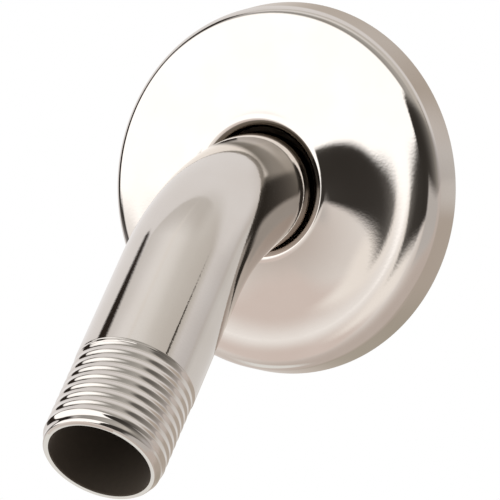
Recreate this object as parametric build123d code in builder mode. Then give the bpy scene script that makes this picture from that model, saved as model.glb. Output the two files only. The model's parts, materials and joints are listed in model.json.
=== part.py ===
# A short wall-mounted shower arm with its loose bell flange.
# Row frame: the origin is where the arm's inlet axis meets the finished wall. The arm comes out of the
# wall along -Y and bends down, +Y goes into the wall and +Z is up. All sizes are in millimetres.
from build123d import *
from math import asin, cos, degrees, radians, sin, tan
import os

# Flange: a thin pressed bell, with a rounded outer edge and a turned-in lip round the arm
flange_od = 65.6
flange_wall = 1.0
side_draft = 9.0
edge_round = 3.0
shoulder_round = 15.0
shoulder_turn = 12.0
ring_height = 7.15
lip_height = 11.0
lip_inner_round = 0.5
lip_turn_in = 0.8
neck_clearance = 0.45

# Arm: one tube, straight out of the wall, bent down and straight to its mouth
tube_od = 20.7
tube_wall = 1.85
inlet_reach = 38.0
bend_behind_lip = 6.4
bend_radius = 49.7
bend_angle = 45.0
outlet_straight = 40.2

# Threaded ends: a plain zone at the crest of the pipe thread, a lead-in cone and a broken bore edge
thread_length = 17.3
crest_drop = 0.2
lead_in_depth = 0.65
lead_in_length = 2.6
bore_edge_break = 0.2

# Sizes that follow from those above
tube_radius = tube_od / 2
bore_radius = tube_radius - tube_wall
crest_radius = tube_radius - crest_drop
wall_to_bend = lip_height - bend_behind_lip
lip_round = lip_inner_round + flange_wall
lip_centre_radius = tube_radius + neck_clearance + lip_round

os.makedirs("parts", exist_ok=True)

# Shower arm: the ring of the tube's wall, swept along the inlet leg, the bend and the outlet leg
with BuildPart() as shower_arm:
    with BuildLine(Plane.YZ) as centreline:
        inlet_leg = Line((inlet_reach, 0), (-wall_to_bend, 0))
        bend = JernArc(start=inlet_leg @ 1, tangent=inlet_leg % 1, radius=bend_radius, arc_size=bend_angle)
        outlet_leg = PolarLine(start=bend @ 1, length=outlet_straight, angle=180 + bend_angle)
    path = centreline.line
    inlet_end = Plane(origin=path @ 0, x_dir=(1, 0, 0), z_dir=(path % 0) * -1)
    outlet_end = Plane(origin=path @ 1, x_dir=(1, 0, 0), z_dir=path % 1)
    with BuildSketch(inlet_end):
        Circle(tube_radius)
        Circle(bore_radius, mode=Mode.SUBTRACT)
    sweep(path=path)

    # Each end is turned to the thread's crest, then led in outside and broken inside
    for end in (inlet_end, outlet_end):
        outward = Axis(end.origin, end.z_dir)
        with BuildSketch(end):
            Circle(tube_od)
            Circle(crest_radius, mode=Mode.SUBTRACT)
        extrude(amount=-thread_length, mode=Mode.SUBTRACT)
        end_face = shower_arm.faces().sort_by(outward)[-1]
        outer_rim = end_face.edges().sort_by(SortBy.RADIUS)[-1]
        chamfer(outer_rim, length=lead_in_depth, length2=lead_in_length, reference=end_face)
        end_face = shower_arm.faces().sort_by(outward)[-1]
        bore_rim = end_face.edges().sort_by(SortBy.RADIUS)[0]
        chamfer(bore_rim, length=bore_edge_break)
shower_arm.part.label = "shower_arm"
export_step(shower_arm.part, "parts/shower_arm.step")

# Wall flange: its front skin is one run of tangent lines and arcs from the back rim to the lip,
# thickened towards the wall and revolved round the inlet axis
with BuildPart() as wall_flange:
    with BuildSketch(Plane.XY):
        with BuildLine() as front_skin:
            shoulder_drop = shoulder_round * (1 - cos(radians(shoulder_turn)))
            edge_drop = edge_round * (cos(radians(shoulder_turn)) - sin(radians(side_draft)))
            side_height = ring_height - shoulder_drop - edge_drop
            edge_turn = 90 - side_draft - shoulder_turn
            # The side starts one wall behind the wall plane, so that the rim can be faced off flat
            side_start = (flange_od / 2 + flange_wall * tan(radians(side_draft)), flange_wall)
            side_length = (side_height + flange_wall) / cos(radians(side_draft))
            side = PolarLine(start=side_start, length=side_length, angle=-90 - side_draft)
            edge = JernArc(start=side @ 1, tangent=side % 1, radius=edge_round, arc_size=-edge_turn)
            shoulder = JernArc(start=edge @ 1, tangent=edge % 1, radius=shoulder_round, arc_size=-shoulder_turn)

            # The cove is the one arc that leaves the shoulder flat and runs on into the lip's round
            run = (shoulder @ 1).X - lip_centre_radius
            rise = lip_height - lip_round - ring_height
            cove_round = (run**2 + rise**2 - lip_round**2) / (2 * (lip_round + rise))
            cove_turn = degrees(asin(run / (cove_round + lip_round)))
            cove = JernArc(start=shoulder @ 1, tangent=shoulder % 1, radius=cove_round, arc_size=cove_turn)
            lip = JernArc(start=cove @ 1, tangent=cove % 1, radius=lip_round, arc_size=-90 - cove_turn)
            hole = PolarLine(start=lip @ 1, length=lip_turn_in, angle=90)
            offset(amount=flange_wall, side=Side.RIGHT, closed=True)
        make_face()
    revolve(axis=Axis.Y)
    split(bisect_by=Plane.XZ)
wall_flange.part.label = "wall_flange"
export_step(wall_flange.part, "parts/wall_flange.step")
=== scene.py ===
# A short wall-mounted shower arm in polished nickel, with its loose bell flange, in a plain light tent.
# The frame is the part's own, in metres: the inlet axis is Y, the finished wall is Y = 0 and +Z is up.
import json
from math import acos, asin, atan2, cos, hypot, pi, radians, sin, tan, tau

import bpy
from mathutils import Matrix, Vector


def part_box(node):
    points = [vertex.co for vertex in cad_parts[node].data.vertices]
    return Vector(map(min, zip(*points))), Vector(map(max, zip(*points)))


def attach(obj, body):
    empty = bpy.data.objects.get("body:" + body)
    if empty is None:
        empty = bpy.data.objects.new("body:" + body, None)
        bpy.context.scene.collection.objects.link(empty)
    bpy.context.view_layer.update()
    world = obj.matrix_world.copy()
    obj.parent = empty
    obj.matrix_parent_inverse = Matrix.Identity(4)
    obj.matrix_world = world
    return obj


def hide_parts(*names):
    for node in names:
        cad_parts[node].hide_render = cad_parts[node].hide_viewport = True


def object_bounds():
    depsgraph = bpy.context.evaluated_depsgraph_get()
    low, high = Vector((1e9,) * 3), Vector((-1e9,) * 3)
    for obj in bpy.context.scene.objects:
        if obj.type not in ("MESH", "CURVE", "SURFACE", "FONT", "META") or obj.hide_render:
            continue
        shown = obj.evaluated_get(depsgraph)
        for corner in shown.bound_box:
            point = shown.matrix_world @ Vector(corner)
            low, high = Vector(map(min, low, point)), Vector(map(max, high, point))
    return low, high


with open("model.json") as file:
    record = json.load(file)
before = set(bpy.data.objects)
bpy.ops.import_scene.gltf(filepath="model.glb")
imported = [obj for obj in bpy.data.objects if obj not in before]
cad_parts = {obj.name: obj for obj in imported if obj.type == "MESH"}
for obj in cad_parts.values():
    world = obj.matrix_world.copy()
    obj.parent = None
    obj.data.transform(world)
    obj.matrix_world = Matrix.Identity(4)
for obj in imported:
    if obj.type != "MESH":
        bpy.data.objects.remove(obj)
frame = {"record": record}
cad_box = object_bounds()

MM = 0.001

# Shower arm: one length of drawn brass tube. It is cut to length and threaded at both ends while it is still
# straight, then bent, polished and plated with nickel. Its inlet thread screws into the elbow in the wall.
mounts = {mount["name"]: mount for mount in frame["record"]["mounts"]}
arm_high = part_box("shower_arm")[1]
tube_radius = arm_high.x
tube_wall = 1.85 * MM
bore_radius = tube_radius - tube_wall
inlet_reach = arm_high.y
wall_to_bend = 4.6 * MM
bend_radius = 49.7 * MM
bend_angle = acos(-mounts["outlet_thread"]["axis"][1])
outlet_straight = 40.2 * MM
tube_sides = 160
bend_rows = 90
straight_rows = 8
bore_rows = 45
shoulder_margin = 0.15 * MM

# Half-inch pipe thread, 14 to the inch, buffed down until its flanks are shallow. It has a short lead-in and
# a small chamfer at the end. Its groove runs out over part of a turn, at a shoulder where the tube is plain.
thread_pitch = 25.4 / 14 * MM
thread_length = 17.3 * MM
thread_depth = 0.30 * MM
crest_softness = 0.3
crest_drop = 0.05 * MM
shoulder_length = 0.1 * MM
runout_turn = 0.5
lead_in_length = 2.0 * MM
lead_in_drop = 0.62 * MM
end_chamfer = 0.15 * MM
rim_radius = 9.5 * MM
bore_edge_break = 0.2 * MM
rows_per_pitch = 20
weld_distance = 0.001 * MM
sharp_angle = radians(35)


def draw_section(name, corners):
    """A closed outline in its object's XZ plane, where x is the radius and z runs along the axis.
    Each corner is (radius, along, rows), and the stretch that leads to it is cut into that many rows."""
    bpy.ops.object.select_all(action="DESELECT")
    bpy.ops.mesh.primitive_plane_add()
    section = bpy.context.object
    section.name = name
    bpy.ops.object.mode_set(mode="EDIT")
    bpy.ops.mesh.merge(type="CENTER")
    here = Vector((corners[0][0], 0, corners[0][1]))
    bpy.ops.transform.translate(value=here)
    for radius, along, rows in corners[1:]:
        there = Vector((radius, 0, along))
        for _ in range(rows):
            bpy.ops.mesh.extrude_region_move(TRANSFORM_OT_translate={"value": (there - here) / rows})
        here = there
    bpy.ops.mesh.select_all(action="SELECT")
    bpy.ops.mesh.edge_face_add()
    bpy.ops.mesh.delete(type="ONLY_FACE")
    bpy.ops.object.mode_set(mode="OBJECT")
    return section


def turn_section(section, sides):
    """Turns the outline into a round body, as on a lathe."""
    bpy.ops.object.mode_set(mode="EDIT")
    bpy.ops.mesh.select_all(action="SELECT")
    bpy.ops.mesh.spin(steps=sides, angle=tau, center=(0, 0, 0), axis=(0, 0, 1))
    bpy.ops.mesh.select_all(action="SELECT")
    bpy.ops.mesh.remove_doubles(threshold=weld_distance)
    bpy.ops.mesh.normals_make_consistent(inside=False)
    bpy.ops.object.mode_set(mode="OBJECT")


inlet_z = -(inlet_reach + wall_to_bend)
bend_length = bend_radius * bend_angle
outlet_z = bend_length + outlet_straight
crest_radius = tube_radius - crest_drop
row = thread_pitch / rows_per_pitch
chamfer_rows = round(end_chamfer / row)
lead_in_rows = round((lead_in_length - end_chamfer) / row)
thread_rows = round((thread_length - shoulder_length - lead_in_length) / row)
shoulder_rows = round(shoulder_length / row)
arm = draw_section("shower_arm_tube", [
    (bore_radius, bend_length, 1),
    (bore_radius, 0, bore_rows),
    (bore_radius, inlet_z + bore_edge_break, 1),
    (bore_radius + bore_edge_break, inlet_z, 1),
    (rim_radius, inlet_z, 1),
    (crest_radius - lead_in_drop, inlet_z + end_chamfer, chamfer_rows),
    (crest_radius, inlet_z + lead_in_length, lead_in_rows),
    (crest_radius, inlet_z + thread_length - shoulder_length, thread_rows),
    (tube_radius, inlet_z + thread_length, shoulder_rows),
    (tube_radius, inlet_z + thread_length + shoulder_margin, 1),
    (tube_radius, 0, straight_rows),
    (tube_radius, bend_length, bend_rows),
    (tube_radius, outlet_z - thread_length - shoulder_margin, straight_rows),
    (tube_radius, outlet_z - thread_length, 1),
    (crest_radius, outlet_z - thread_length + shoulder_length, shoulder_rows),
    (crest_radius, outlet_z - lead_in_length, thread_rows),
    (crest_radius - lead_in_drop, outlet_z - end_chamfer, lead_in_rows),
    (rim_radius, outlet_z, chamfer_rows),
    (bore_radius + bore_edge_break, outlet_z, 1),
    (bore_radius, outlet_z - bore_edge_break, 1),
])
turn_section(arm, tube_sides)

# The thread is one groove that winds round each end
smallest_outside = bore_radius + 2 * bore_edge_break
for vertex in arm.data.vertices:
    radius = hypot(vertex.co.x, vertex.co.y)
    inward = 1 if vertex.co.z < 0 else -1
    from_end = inward * (vertex.co.z - (inlet_z if inward > 0 else outlet_z))
    if radius > smallest_outside and from_end < thread_length:
        turns = (vertex.co.z - outlet_z) / thread_pitch - atan2(vertex.co.y, vertex.co.x) / tau
        off_root = turns - round(turns)
        root_from_end = from_end - inward * off_root * thread_pitch
        kept = min(max((thread_length - root_from_end) / (runout_turn * thread_pitch), 0), 1)
        flank = 1 - hypot(2 * off_root, crest_softness)
        cut = kept * thread_depth * (flank + hypot(flank, crest_softness)) / 2
        vertex.co.x *= 1 - cut / radius
        vertex.co.y *= 1 - cut / radius

# The bore's faces take the second material
for face in arm.data.polygons:
    if hypot(face.center.x, face.center.y) < bore_radius + bore_edge_break:
        face.material_index = 1

# The bender turns the tube down by the bend angle, from the start of the bend on
straight_length = outlet_z - inlet_z
bend = arm.modifiers.new("Bend", "SIMPLE_DEFORM")
bend.deform_method = "BEND"
bend.deform_axis = "X"
bend.angle = -bend_angle
bend.limits = (-inlet_z / straight_length, (bend_length - inlet_z) / straight_length)
bpy.ops.object.modifier_apply(modifier="Bend")
arm.location = (0, -wall_to_bend, 0)
arm.rotation_euler = (radians(90), 0, 0)
bpy.ops.object.transform_apply(location=True, rotation=True, scale=True)
bpy.ops.object.shade_smooth_by_angle(angle=sharp_angle)
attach(arm, "arm")
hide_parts("shower_arm")

# The flange mirrors the tent alone, without the arm
arm.visible_glossy = False

# Polished nickel: brass that is buffed on a wheel, plated with bright nickel and left bare. It is a warm
# mirror, with a faint bloom that drifts over the surface and hair-fine buffing marks that feather its edges.
nickel_bright = "#D3CEC9"
nickel_deep = "#CBC4BD"
bloom_size = 9.0 * MM
buff_spacing = 0.45 * MM
buff_depth = 0.003 * MM
bloom_low = 0.3
bloom_high = 0.7
bloom_detail = 3
buff_detail = 2
mirror_roughness = 0.03
hazy_roughness = 0.07

# A Mix node's colour sockets go by number, because its sockets for values and colours share their names
first_colour = 6
second_colour = 7
mixed_colour = 2


def linear(colour):
    """A hex sRGB colour as linear RGBA."""
    channels = [int(colour[k:k + 2], 16) / 255 for k in (1, 3, 5)]
    return [c / 12.92 if c <= 0.04045 else ((c + 0.055) / 1.055) ** 2.4 for c in channels] + [1]


def add_node(tree, kind, inputs=(), **settings):
    """Adds a node with its settings. Inputs are (socket, value) pairs.
    A value may be another node's output, which is then linked."""
    node = tree.nodes.new("ShaderNode" + kind)
    for name, value in settings.items():
        setattr(node, name, value)
    for socket, value in inputs:
        if isinstance(value, bpy.types.NodeSocket):
            tree.links.new(value, node.inputs[socket])
        else:
            node.inputs[socket].default_value = value
    return node


polished_nickel = bpy.data.materials.new("polished_nickel_plate")
polished_nickel.use_nodes = True
tree = polished_nickel.node_tree
nickel = tree.nodes["Principled BSDF"]
place = add_node(tree, "TexCoord").outputs["Object"]
bloom = add_node(tree, "TexNoise", [("Vector", place), ("Scale", 1 / bloom_size),
                                    ("Detail", bloom_detail)]).outputs["Fac"]
tint = add_node(tree, "Mix", [("Factor", bloom), (first_colour, linear(nickel_deep)),
                              (second_colour, linear(nickel_bright))], data_type="RGBA")
haze = add_node(tree, "MapRange", [("Value", bloom), ("From Min", bloom_low), ("From Max", bloom_high),
                                   ("To Min", mirror_roughness), ("To Max", hazy_roughness)])
buff = add_node(tree, "TexNoise", [("Vector", place), ("Scale", 1 / buff_spacing),
                                   ("Detail", buff_detail)]).outputs["Fac"]
marks = add_node(tree, "Bump", [("Height", buff), ("Distance", buff_depth), ("Strength", 1)])
tree.links.new(tint.outputs[mixed_colour], nickel.inputs["Base Color"])
tree.links.new(haze.outputs["Result"], nickel.inputs["Roughness"])
tree.links.new(marks.outputs["Normal"], nickel.inputs["Normal"])
nickel.inputs["Metallic"].default_value = 1
arm.data.materials.append(polished_nickel)

# The bore is dull, as the draw bench leaves it; its very dark brown is painted shade inside the tube
bore_shade_brown = "#4D453C"
bore_shade_dark = "#423A32"
drawn_streak = 0.8 * MM
streak_detail = 3
film_roughness = 0.75
bare_roughness = 0.95
film_sheen = 0.2
bore_brass_shaded = bpy.data.materials.new("drawn_brass_painted_shade")
bore_brass_shaded.use_nodes = True
tree = bore_brass_shaded.node_tree
brass = tree.nodes["Principled BSDF"]
place = add_node(tree, "TexCoord").outputs["Object"]
streak = add_node(tree, "TexNoise", [("Vector", place), ("Scale", 1 / drawn_streak),
                                     ("Detail", streak_detail)]).outputs["Fac"]
bore_shade_tone = add_node(tree, "Mix", [("Factor", streak), (first_colour, linear(bore_shade_dark)),
                              (second_colour, linear(bore_shade_brown))], data_type="RGBA")
wear = add_node(tree, "MapRange", [("Value", streak), ("To Min", film_roughness),
                                   ("To Max", bare_roughness)])
tree.links.new(bore_shade_tone.outputs[mixed_colour], brass.inputs["Base Color"])
tree.links.new(wear.outputs["Result"], brass.inputs["Roughness"])
brass.inputs["Specular IOR Level"].default_value = film_sheen
arm.data.materials.append(bore_brass_shaded)

# Wall flange: a bell pressed from thin brass sheet and plated like the arm. Its back rim meets the wall, its
# outer edge is round, its face sweeps up in a cove, and its lip is turned in round the arm with a loose gap.
flange_low, flange_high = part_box("wall_flange")
flange_radius = flange_high.x
lip_height = -flange_low.y
flange_wall = 1.0 * MM
side_draft = radians(9)
edge_round = 3.0 * MM
shoulder_round = 15.0 * MM
shoulder_turn = radians(12)
ring_height = 7.15 * MM
lip_round = 1.5 * MM
lip_turn_in = 0.8 * MM
neck_clearance = 0.45 * MM
flange_sides = 224

edge_turn = pi / 2 - side_draft - shoulder_turn
edge_drop = edge_round * (cos(shoulder_turn) - sin(side_draft))
shoulder_drop = shoulder_round * (1 - cos(shoulder_turn))
side_height = ring_height - edge_drop - shoulder_drop
edge_run = edge_round * (cos(side_draft) - sin(shoulder_turn))
ring_radius = flange_radius - side_height * tan(side_draft) - edge_run - shoulder_round * sin(shoulder_turn)
lip_centre_radius = tube_radius + neck_clearance + lip_round
cove_run = ring_radius - lip_centre_radius
cove_rise = lip_height - lip_round - ring_height
cove_round = (cove_run**2 + cove_rise**2 - lip_round**2) / (2 * (lip_round + cove_rise))
cove_turn = asin(cove_run / (cove_round + lip_round))

# Each arc of the front skin: its radius, its turn towards the arm, or away from it if negative, and its rows
skin_arcs = ((edge_round, edge_turn, 40), (shoulder_round, shoulder_turn, 14),
             (cove_round, -cove_turn, 48), (lip_round, pi / 2 + cove_turn, 48))


def bell_skin(depth):
    """Corners of the bell's section from its back rim to its hole, at that depth under the front skin."""
    skin = [(flange_radius - depth / cos(side_draft), 0, 1)]
    point = Vector((flange_radius - side_height * tan(side_draft), side_height))
    heading = pi / 2 + side_draft
    for arc_radius, turn, rows in skin_arcs:
        side = 1 if turn > 0 else -1
        to_centre = heading + side * pi / 2
        centre = point + arc_radius * Vector((cos(to_centre), sin(to_centre)))
        for count in range(len(skin) > 1, rows + 1):
            spoke = to_centre + pi + turn * count / rows
            skin.append((*(centre + (arc_radius - side * depth) * Vector((cos(spoke), sin(spoke)))), 1))
        point = centre + arc_radius * Vector((cos(spoke), sin(spoke)))
        heading += turn
    hole_radius, hole_start = skin[-1][:2]
    skin.append((hole_radius, hole_start - lip_turn_in, 1))
    return skin


flange = draw_section("wall_flange_bell", bell_skin(0) + bell_skin(flange_wall)[::-1])
turn_section(flange, flange_sides)
flange.rotation_euler = (radians(90), 0, 0)
bpy.ops.object.transform_apply(location=True, rotation=True, scale=True)
bpy.ops.object.shade_smooth_by_angle(angle=sharp_angle)
flange.data.materials.append(polished_nickel)
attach(flange, "flange")
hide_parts("wall_flange")

# Shade behind the flange: on a wall, the hollow of the bell is dark, and the gap round the neck shows it.
# A dull ring behind the bell stands for that, and a sleeve that only mirrors see stands for the shaded neck.
# Neither is part of the object.
shade_radius = flange_radius - 3 * flange_wall
shade_depth = 0.4 * MM
sleeve_reach = 14.5 * MM
sleeve_gap = 0.03 * MM
shade_dark = "#8A7E72"
neck_painted_shade = "#5A5249"
neck_under = "#CFC9C3"
neck_fade = 5.0 * MM
neck_roughness = 0.1
bpy.ops.object.select_all(action="DESELECT")
bpy.ops.mesh.primitive_circle_add(vertices=flange_sides, radius=shade_radius, fill_type="NGON",
                                  location=(0, -shade_depth, 0), rotation=(radians(90), 0, 0))
shade = bpy.context.object
shade.name = "shade_behind_flange"
bpy.ops.object.mode_set(mode="EDIT")
bpy.ops.mesh.inset(thickness=shade_radius - tube_radius)
bpy.ops.mesh.delete(type="FACE")
bpy.ops.object.mode_set(mode="OBJECT")
bpy.ops.object.transform_apply(location=True, rotation=True, scale=True)
bpy.ops.mesh.primitive_cylinder_add(vertices=tube_sides, radius=tube_radius + sleeve_gap,
                                    depth=sleeve_reach, end_fill_type="NOTHING",
                                    location=(0, -sleeve_reach / 2, 0), rotation=(radians(90), 0, 0))
sleeve = bpy.context.object
sleeve.name = "shade_on_neck"
bpy.ops.object.transform_apply(location=True, rotation=True, scale=True)
sleeve.visible_camera = False
sleeve.visible_shadow = False
sleeve.visible_diffuse = False

# The ring is dark in front and open from behind
dark_hollow = bpy.data.materials.new("dark_hollow")
dark_hollow.use_nodes = True
tree = dark_hollow.node_tree
dark_face = tree.nodes["Principled BSDF"]
dark_face.inputs["Base Color"].default_value = linear(shade_dark)
dark_face.inputs["Roughness"].default_value = 1
facing = add_node(tree, "NewGeometry")
open_back = add_node(tree, "BsdfTransparent")
one_sided = add_node(tree, "MixShader", [(0, facing.outputs["Backfacing"]), (1, dark_face.outputs[0]),
                                         (2, open_back.outputs[0])])
tree.links.new(one_sided.outputs[0], tree.nodes["Material Output"].inputs["Surface"])
shade.data.materials.append(dark_hollow)

# The sleeve mirrors like the neck, with painted shade above that fades to a paler colour below
shaded_neck = dark_hollow.copy()
shaded_neck.name = "shaded_neck"
tree = shaded_neck.node_tree
neck_face = tree.nodes["Principled BSDF"]
place = add_node(tree, "TexCoord").outputs["Object"]
height = add_node(tree, "SeparateXYZ", [("Vector", place)]).outputs["Z"]
lower = add_node(tree, "MapRange", [("Value", height), ("From Min", neck_fade), ("From Max", -neck_fade)])
fade = add_node(tree, "Mix", [("Factor", lower.outputs["Result"]), (first_colour, linear(neck_painted_shade)),
                              (second_colour, linear(neck_under))], data_type="RGBA")
tree.links.new(fade.outputs[mixed_colour], neck_face.inputs["Base Color"])
neck_face.inputs["Metallic"].default_value = 1
neck_face.inputs["Roughness"].default_value = neck_roughness
sleeve.data.materials.append(shaded_neck)
for dark_piece in (shade, sleeve):
    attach(dark_piece, "flange")

# Floor: a plain pale sheet below the part. To the camera it is nearly white, and it keeps a soft shadow.
floor_drop = 0.25
floor_size = 3.0
floor_white = "#F1EFEC"
floor_roughness = 0.9
bpy.ops.object.select_all(action="DESELECT")
bpy.ops.mesh.primitive_plane_add(size=floor_size, location=(0, 0, cad_box[0][2] - floor_drop))
floor = bpy.context.object
floor.name = "studio_floor"
floor.visible_glossy = False
pale_paper = bpy.data.materials.new("pale_paper")
pale_paper.use_nodes = True
paper = pale_paper.node_tree.nodes["Principled BSDF"]
paper.inputs["Base Color"].default_value = linear(floor_white)
paper.inputs["Roughness"].default_value = floor_roughness
floor.data.materials.append(pale_paper)

# Light tent: pale cloth on all sides, with one large lit panel in front of the arm. A dark frame borders the
# panel at its left and over its top, and the camera looks in through a dark gap at its right.
# The nickel mirrors it all.
tent_level = 1.333
studio = bpy.data.worlds.new("light_tent")
bpy.context.scene.world = studio
studio.use_nodes = True
tree = studio.node_tree
tree.nodes.clear()
direction = add_node(tree, "TexCoord").outputs["Generated"]


def sight(azimuth, elevation):
    """The way to a point of the tent, in degrees.
    Azimuth 0 is straight out from the wall, and 90 is along +X."""
    turn, rise = radians(azimuth), radians(elevation)
    return Vector((sin(turn) * cos(rise), -cos(turn) * cos(rise), sin(rise)))


def hang(behind, colour, strength, *edges):
    """Hangs a sheet in front of what is behind it. Each straight edge is (start, end, softness), with two
    points that it runs through. On a chart of the tent, the sheet lies left of the way from start to end."""
    inside = None
    for start, end, softness in edges:
        normal = sight(*start).cross(sight(*end)).normalized()
        reach = add_node(tree, "VectorMath", [(0, direction), (1, normal)], operation="DOT_PRODUCT")
        side = add_node(tree, "MapRange", [("Value", reach.outputs["Value"]), ("From Min", -softness),
                                           ("From Max", softness)], interpolation_type="SMOOTHSTEP")
        if inside is None:
            inside = side.outputs["Result"]
        else:
            both = add_node(tree, "Math", [(0, inside), (1, side.outputs["Result"])], operation="MULTIPLY")
            inside = both.outputs["Value"]
    lit = [strength * channel for channel in linear(colour)]
    sheet = add_node(tree, "Mix", [("Factor", inside), (first_colour, behind), (second_colour, lit)],
                     data_type="RGBA")
    return sheet.outputs[mixed_colour]


base_cloth = linear("#C4BAB4")
roof_cloth = hang(base_cloth, "#FFFFFF", 1.08, ((10, -8), (85, 19), 0.9))
left_cloth = hang(roof_cloth, "#B6B3B3", 1, ((-88, 10), (-103, 35), 0.24), ((-101, 61), (-141, 81), 0.2),
                  ((-186, -8), (-88, -8), 0.56))
back_cloth = hang(left_cloth, "#E2E0E0", 1, ((110, 46), (113, 5), 0.22), ((91, 10), (-180, 5), 0.3))
wall_cloth = hang(back_cloth, "#B5ACA3", 1, ((143, 35), (131, -30), 0.12), ((212, -45), (212, 35), 0.15),
                  ((200, 40), (140, 40), 0.2), ((140, -58), (200, -58), 0.15))
leg_cloth = hang(wall_cloth, "#D3D1CF", 1, ((137, 15), (135, -20), 0.08), ((135, -9), (175, -13), 0.08),
                 ((175, 10), (135, 12), 0.08), ((200, -20), (200, 15), 0.15))
foot_cloth = hang(leg_cloth, "#A9A297", 1, ((162, -20), (162, -60), 0.2), ((205, -60), (205, -20), 0.15),
                  ((160, -45), (205, -45), 0.1), ((205, -24), (160, -24), 0.1))
rim_cloth = hang(foot_cloth, "#E9EBEA", 1, ((-120, -68), (-75, -68), 0.1), ((-75, -46), (-120, -46), 0.1),
                 ((-75, -70), (-75, -40), 0.1), ((-122, -40), (-122, -70), 0.1))
over_cloth = hang(rim_cloth, "#CBC8C5", 1, ((130, 70), (-98, 57), 0.015), ((-90, 30), (90, 30), 0.15),
                  ((60, 55), (150, 55), 0.15))
low_cloth = hang(over_cloth, "#DCD0CB", 1, ((-45, 10), (-45, -45), 0.15), ((-15, -45), (-15, 10), 0.08),
                 ((-10, -9), (-45, -9), 0.14), ((-45, -42), (-10, -42), 0.2))
glow_cloth = hang(low_cloth, "#FAF6F2", 1, ((-50, -15), (-8, -15), 0.06), ((-6, -30), (-6, 10), 0.08),
                  ((-22, 10), (-22, -30), 0.05))
right_cloth = hang(glow_cloth, "#C0BCB6", 1, ((107, 3), (119, 47), 0.08), ((125, 70), (30, 80), 0.8),
                   ((59, 41), (75, -3), 0.47), ((9, 5), (94, -3), 0.05))
seam = hang(right_cloth, "#3C3631", 1, ((109.1, 20), (109.1, 45), 0.008), ((106.9, 45), (106.9, 20), 0.008),
            ((100, 25), (115, 22), 0.05), ((115, 35.8), (100, 38.3), 0.006))
top_frame = hang(seam, "#79766F", 1, ((-106, 44), (-85, 7), 0.05), ((31, 77), (-68, 60), 0.09),
                 ((68, 20), (65, 64), 0.83), ((-101, 6), (-12, 7), 0.16))
left_frame = hang(top_frame, "#2C2622", 1, ((-104, 44), (-106, 0), 0.02), ((-66, 17), (-75, 45), 0.13),
                  ((-56, 62), (-101, 49), 0.02), ((-110, -6), (-63, -16), 0.24))
camera_gap = hang(left_frame, "#33302D", 1, ((-12, 9), (-26, -1), 0.1), ((-20.6, 5), (-18, -8), 0.03),
                  ((99, -5), (104, 38), 1.1), ((-11, -7), (30, -12), 0.04), ((104, 33), (45, 42), 0.3))
fill_cloth = hang(camera_gap, "#C0BDBB", 1, ((41, 2), (30, -14), 0.1), ((100, -7), (30, 2), 0.08),
                  ((20, -24), (110, -24), 0.1), ((110, -30), (110, 10), 0.1))
lit_panel = hang(fill_cloth, "#FFFFFF", 1.35, ((-93, 38), (-84, 13), 0.03), ((14, 51), (-60, 50), 0.1),
                 ((11, 19), (63, 42), 0.035), ((-27, -2), (16, 11.5), 0.035), ((-89, 1), (-29, -0.7), 0.04))
tent_light = add_node(tree, "Background", [("Color", lit_panel), ("Strength", tent_level)])
plain_white = add_node(tree, "Background", [("Color", (1, 1, 1, 1))])
ray = add_node(tree, "LightPath")
shown = add_node(tree, "MixShader", [(0, ray.outputs["Is Camera Ray"]), (1, tent_light.outputs[0]),
                                     (2, plain_white.outputs[0])])
tree.links.new(shown.outputs[0], add_node(tree, "OutputWorld").inputs["Surface"])

# Camera: a long lens at the photograph's place, a little to the right of the arm and level with it
camera_azimuth = radians(28.0968)
camera_elevation = radians(-0.9009)
camera_distance = 0.614298
camera_roll = radians(-2.797)
camera_target = Vector((-0.0063, -0.0034, -0.0106))
focal_length = 250.46
sensor_width = 36
camera_data = bpy.data.cameras.new("camera")
camera = bpy.data.objects.new("camera", camera_data)
bpy.context.scene.collection.objects.link(camera)
camera_data.lens = focal_length
camera_data.sensor_width = sensor_width
camera.location = camera_distance * Vector((sin(camera_azimuth) * cos(camera_elevation),
                                            -cos(camera_azimuth) * cos(camera_elevation),
                                            sin(camera_elevation)))
aim = (camera_target - camera.location).to_track_quat("-Z", "Y").to_matrix().to_4x4()
camera.matrix_world = Matrix.Translation(camera.location) @ aim @ Matrix.Rotation(camera_roll, 4, "Z")
bpy.context.scene.camera = camera
bpy.context.scene.view_settings.view_transform = "Standard"
